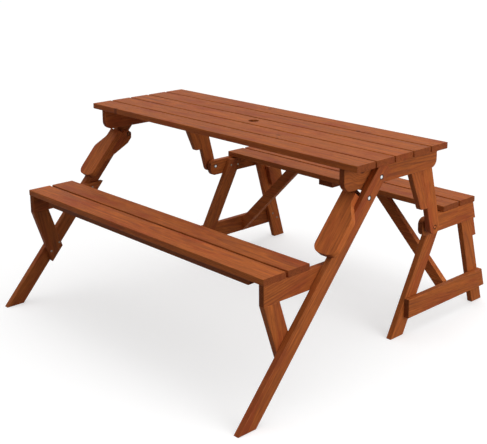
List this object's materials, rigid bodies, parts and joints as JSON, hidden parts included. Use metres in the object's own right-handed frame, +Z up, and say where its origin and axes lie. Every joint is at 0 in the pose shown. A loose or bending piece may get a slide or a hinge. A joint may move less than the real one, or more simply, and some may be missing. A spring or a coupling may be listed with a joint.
{
  "type": "convertible picnic table bench",
  "caption": "Wooden picnic table with a bench on each side, which folds at its pivots into one garden bench with a slatted back and armrests.",
  "frame": {"origin": "on the ground, below the middle of the umbrella hole in the table", "axes": "+X along the benches to the right, +Y from the front bench to the rear bench, +Z up"},
  "size_m": [1.37, 1.354, 0.713],
  "materials": {
    "stained_wood": "reddish brown stain, satin, with visible grain",
    "zinc_steel": "bright zinc plated steel"
  },
  "bodies": {
    "rear_bench": {"ledge_block_left": "stained_wood", "ledge_block_right": "stained_wood", "pivot_bolts": "zinc_steel", "pivot_bushes": "zinc_steel", "rear_seat_batten": "stained_wood", "rear_seat_board_1": "stained_wood", "rear_seat_board_2": "stained_wood", "rear_seat_support_left": "stained_wood", "rear_seat_support_right": "stained_wood", "seat_strut_left": "stained_wood", "seat_strut_right": "stained_wood", "trestle_front_leg_left": "stained_wood", "trestle_front_leg_right": "stained_wood", "trestle_rail_left": "stained_wood", "trestle_rail_right": "stained_wood", "trestle_rear_leg_left": "stained_wood", "trestle_rear_leg_right": "stained_wood"},
    "table": {"table_slat_1": "stained_wood", "table_slat_2": "stained_wood", "table_slat_3": "stained_wood", "table_slat_4": "stained_wood", "table_slat_5": "stained_wood", "table_batten": "stained_wood", "apron_left": "stained_wood", "apron_right": "stained_wood", "backrest_arm_left": "stained_wood", "backrest_arm_right": "stained_wood", "arm_wedge_left": "stained_wood", "arm_wedge_right": "stained_wood", "arm_packer_left": "stained_wood", "arm_packer_right": "stained_wood", "armrest_stop_left": "stained_wood", "armrest_stop_right": "stained_wood"},
    "front_bench": {"front_brace_left": "stained_wood", "front_brace_right": "stained_wood", "front_seat_batten": "stained_wood", "front_seat_board_1": "stained_wood", "front_seat_board_2": "stained_wood", "front_seat_rail": "stained_wood", "front_seat_support_left": "stained_wood", "front_seat_support_right": "stained_wood", "long_leg_left": "stained_wood", "long_leg_right": "stained_wood", "hinge_bolts": "zinc_steel", "hinge_washers": "zinc_steel", "armrest_bolts": "zinc_steel", "stop_bushes": "zinc_steel"},
    "armrest_left": {"armrest_board_left": "stained_wood", "armrest_plate_left": "stained_wood"},
    "armrest_right": {"armrest_board_right": "stained_wood", "armrest_plate_right": "stained_wood"}
  },
  "joints": [
    {"name": "table_fold", "type": "hinge", "parent": "rear_bench", "child": "table", "pos_m": [0, 0.288, 0.388], "axis": [-1, 0, 0], "range_deg": [0, 108.9]},
    {"name": "front_bench_hinge", "type": "hinge", "parent": "table", "child": "front_bench", "pos_m": [0, -0.07304, 0.646], "axis": [1, 0, 0], "range_deg": [0, 108.9]},
    {"name": "armrest_left_hinge", "type": "hinge", "parent": "front_bench", "child": "armrest_left", "pos_m": [-0.6215, -0.12967, 0.59], "axis": [-1, 0, 0], "range_deg": [0, 49.01]},
    {"name": "armrest_right_hinge", "type": "hinge", "parent": "front_bench", "child": "armrest_right", "pos_m": [0.6215, -0.12967, 0.59], "axis": [-1, 0, 0], "range_deg": [0, 49.01]}
  ],
  "couplings": [
    {"joint": "front_bench_hinge", "follows": "table_fold", "ratio": 1},
    {"joint": "armrest_left_hinge", "follows": "table_fold", "ratio": 0.45},
    {"joint": "armrest_right_hinge", "follows": "table_fold", "ratio": 0.45}
  ]
}
